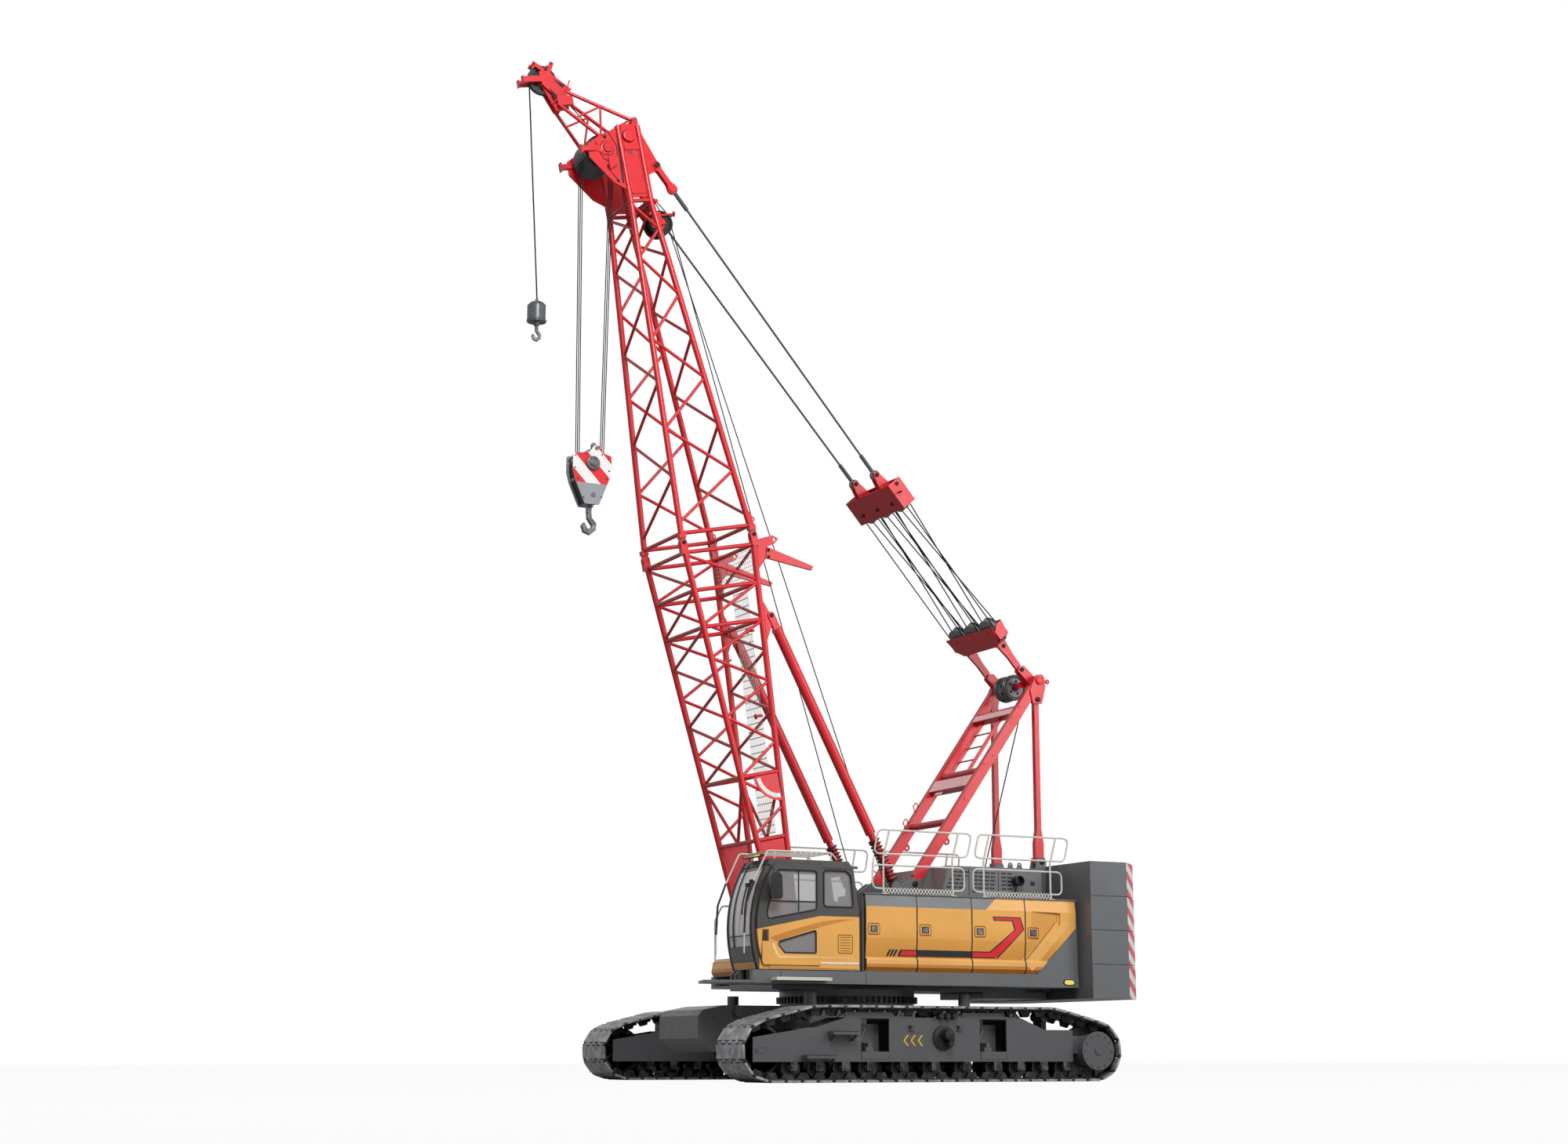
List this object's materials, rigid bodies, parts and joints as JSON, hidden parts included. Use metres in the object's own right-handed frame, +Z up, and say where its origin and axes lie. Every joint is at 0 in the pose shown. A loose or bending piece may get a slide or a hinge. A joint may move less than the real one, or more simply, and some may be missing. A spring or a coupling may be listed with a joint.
{
  "type": "crawler crane",
  "caption": "Crawler crane with a slewing upper body, a short lattice boom, luffing tackle and gantry, and two hooks.",
  "frame": {"origin": "on the slewing axis, at ground level", "axes": "+X to the machine's front, +Y to its left side, +Z up"},
  "size_m": [10.5478, 6.21, 16.5598],
  "materials": {
    "yellow_paint": "satin",
    "red_paint": "satin",
    "charcoal_paint": "satin",
    "white_paint": "satin",
    "grey_paint": "satin",
    "dark_paint": "satin",
    "dark_cast": "matte",
    "worn_steel": "matte",
    "bare_steel": "brushed",
    "galvanised": "matte",
    "wire_rope": "matte",
    "glass": "gloss",
    "seat_fabric": "matte"
  },
  "bodies": {
    "undercarriage": {"carbody": "charcoal_paint", "slewing_gear": "bare_steel", "track_frame_left": "charcoal_paint", "track_frame_right": "charcoal_paint", "track_left": "worn_steel", "track_right": "worn_steel", "track_rollers": "dark_cast", "idlers": "dark_cast", "final_drives": "charcoal_paint"},
    "superstructure": {"deck": "grey_paint", "cab_shell": "yellow_paint", "cab_glass": "glass", "cab_seat": "seat_fabric", "house_left": "yellow_paint", "house_right": "yellow_paint", "engine_hood": "grey_paint", "engine": "dark_cast", "counterweight": "charcoal_paint", "handrails": "white_paint", "steps": "dark_paint", "gantry_legs": "red_paint", "gantry_head": "red_paint", "gantry_backstays": "red_paint"},
    "cab_door": {"cab_door": "yellow_paint", "door_glass": "glass"},
    "left_door_1": {"left_door_1": "yellow_paint"},
    "left_door_2": {"left_door_2": "yellow_paint"},
    "left_door_3": {"left_door_3": "yellow_paint"},
    "left_door_4": {"left_door_4": "yellow_paint"},
    "right_door_1": {"right_door_1": "yellow_paint"},
    "right_door_2": {"right_door_2": "yellow_paint"},
    "winch_front": {"winch_front": "dark_cast"},
    "winch_rear": {"winch_rear": "dark_cast"},
    "winch_luffing": {"winch_luffing": "dark_cast"},
    "boom": {"boom_base": "red_paint", "boom_top": "red_paint", "boom_walkway": "galvanised", "tip_frame": "red_paint"},
    "head_sheaves": {"head_sheaves": "dark_cast"},
    "deflector_sheaves": {"deflector_sheaves": "dark_cast"},
    "tip_sheave": {"tip_sheave": "dark_cast"},
    "gantry_sheaves": {"gantry_sheaves": "dark_cast"},
    "tackle": {"tackle_lower_block": "red_paint"},
    "spreader": {"tackle_spreader": "red_paint", "pendants": "wire_rope"},
    "backstop_rods": {"backstop_rods": "dark_cast"},
    "backstop_tubes": {"backstop_tubes": "red_paint"},
    "main_falls": {"main_falls": "wire_rope"},
    "main_block": {"main_block": "red_paint"},
    "main_hook": {"main_hook": "dark_cast"},
    "aux_fall": {"aux_fall": "wire_rope"},
    "aux_ball": {"aux_ball": "yellow_paint"},
    "aux_hook": {"aux_hook": "dark_cast"}
  },
  "joints": [
    {"name": "slew", "type": "hinge", "parent": "undercarriage", "child": "superstructure", "pos_m": [0, 0, 0], "axis": [0, 0, 1], "continuous": true},
    {"name": "boom_luff", "type": "hinge", "parent": "superstructure", "child": "boom", "pos_m": [1.338, 0, 1.944], "axis": [0, 1, 0], "range_deg": [-1.5, 48]},
    {"name": "bridle_swing", "type": "hinge", "parent": "superstructure", "child": "tackle", "pos_m": [-3.18, 0, 6.95], "axis": [0, 1, 0], "range_deg": [-2, 43]},
    {"name": "bridle_pay_out", "type": "slide", "parent": "tackle", "child": "spreader", "axis": [0.6564, 0, 0.7544], "range_m": [-0.2, 5.4]},
    {"name": "backstop_swing", "type": "hinge", "parent": "superstructure", "child": "backstop_rods", "pos_m": [-0.5, 0, 3.136], "axis": [0, 1, 0], "range_deg": [-2, 44]},
    {"name": "backstop_slide", "type": "slide", "parent": "backstop_rods", "child": "backstop_tubes", "axis": [0.467, 0, 0.8842], "range_m": [-0.1, 1.8]},
    {"name": "main_fall_swing", "type": "hinge", "parent": "boom", "child": "main_falls", "pos_m": [4.68931, 0, 15.13135], "axis": [0, 1, 0], "range_deg": [-50, 4]},
    {"name": "main_hoist", "type": "slide", "parent": "main_falls", "child": "main_block", "axis": [0, 0, 1], "range_m": [-8, 3], "deforming": ["main_falls"]},
    {"name": "main_hook_swivel", "type": "hinge", "parent": "main_block", "child": "main_hook", "pos_m": [4.715, 0, 9.1], "axis": [0, 0, 1], "continuous": true},
    {"name": "aux_fall_swing", "type": "hinge", "parent": "boom", "child": "aux_fall", "pos_m": [5.68777, 0, 16.3098], "axis": [0, 1, 0], "range_deg": [-50, 4]},
    {"name": "aux_hoist", "type": "slide", "parent": "aux_fall", "child": "aux_ball", "axis": [0, 0, 1], "range_m": [-9, 2.5], "deforming": ["aux_fall"]},
    {"name": "aux_hook_swivel", "type": "hinge", "parent": "aux_ball", "child": "aux_hook", "pos_m": [5.686, 0, 12.1], "axis": [0, 0, 1], "continuous": true},
    {"name": "head_sheaves_spin", "type": "hinge", "parent": "boom", "child": "head_sheaves", "pos_m": [4.68931, 0, 15.13135], "axis": [0, 1, 0], "continuous": true},
    {"name": "deflector_sheaves_spin", "type": "hinge", "parent": "boom", "child": "deflector_sheaves", "pos_m": [3.54637, 0, 14.13053], "axis": [0, 1, 0], "continuous": true},
    {"name": "tip_sheave_spin", "type": "hinge", "parent": "boom", "child": "tip_sheave", "pos_m": [5.68777, 0, 16.3098], "axis": [0, 1, 0], "continuous": true},
    {"name": "gantry_sheaves_spin", "type": "hinge", "parent": "superstructure", "child": "gantry_sheaves", "pos_m": [-3.3, 0, 6.7], "axis": [0, 1, 0], "continuous": true},
    {"name": "winch_front_spin", "type": "hinge", "parent": "superstructure", "child": "winch_front", "pos_m": [-0.06, 0, 2.4], "axis": [0, 1, 0], "continuous": true},
    {"name": "winch_rear_spin", "type": "hinge", "parent": "superstructure", "child": "winch_rear", "pos_m": [-0.84, 0, 2.4], "axis": [0, 1, 0], "continuous": true},
    {"name": "winch_luffing_spin", "type": "hinge", "parent": "superstructure", "child": "winch_luffing", "pos_m": [-2.5, 0, 2.4], "axis": [0, 1, 0], "continuous": true},
    {"name": "cab_door_slide", "type": "slide", "parent": "superstructure", "child": "cab_door", "axis": [-1, 0, 0], "range_m": [0, 0.6]},
    {"name": "left_door_1_hinge", "type": "hinge", "parent": "superstructure", "child": "left_door_1", "pos_m": [-0.334, 1.75, 2.3], "axis": [0, 0, 1], "range_deg": [0, 88]},
    {"name": "left_door_2_hinge", "type": "hinge", "parent": "superstructure", "child": "left_door_2", "pos_m": [-1.358, 1.75, 2.3], "axis": [0, 0, 1], "range_deg": [0, 88]},
    {"name": "left_door_3_hinge", "type": "hinge", "parent": "superstructure", "child": "left_door_3", "pos_m": [-2.376, 1.75, 2.3], "axis": [0, 0, 1], "range_deg": [0, 88]},
    {"name": "left_door_4_hinge", "type": "hinge", "parent": "superstructure", "child": "left_door_4", "pos_m": [-3.376, 1.75, 2.3], "axis": [0, 0, 1], "range_deg": [0, 88]},
    {"name": "right_door_1_hinge", "type": "hinge", "parent": "superstructure", "child": "right_door_1", "pos_m": [-0.334, -1.75, 2.3], "axis": [0, 0, -1], "range_deg": [0, 88]},
    {"name": "right_door_2_hinge", "type": "hinge", "parent": "superstructure", "child": "right_door_2", "pos_m": [-1.358, -1.75, 2.3], "axis": [0, 0, -1], "range_deg": [0, 88]}
  ],
  "couplings": [
    {"joint": "bridle_swing", "follows": "boom_luff", "ratio": 0.87929},
    {"joint": "bridle_pay_out", "follows": "boom_luff", "m_per_rad": 6.356},
    {"joint": "backstop_swing", "follows": "boom_luff", "ratio": 0.89539},
    {"joint": "backstop_slide", "follows": "boom_luff", "m_per_rad": 2.0429},
    {"joint": "main_fall_swing", "follows": "boom_luff", "ratio": -1},
    {"joint": "aux_fall_swing", "follows": "boom_luff", "ratio": -1}
  ]
}
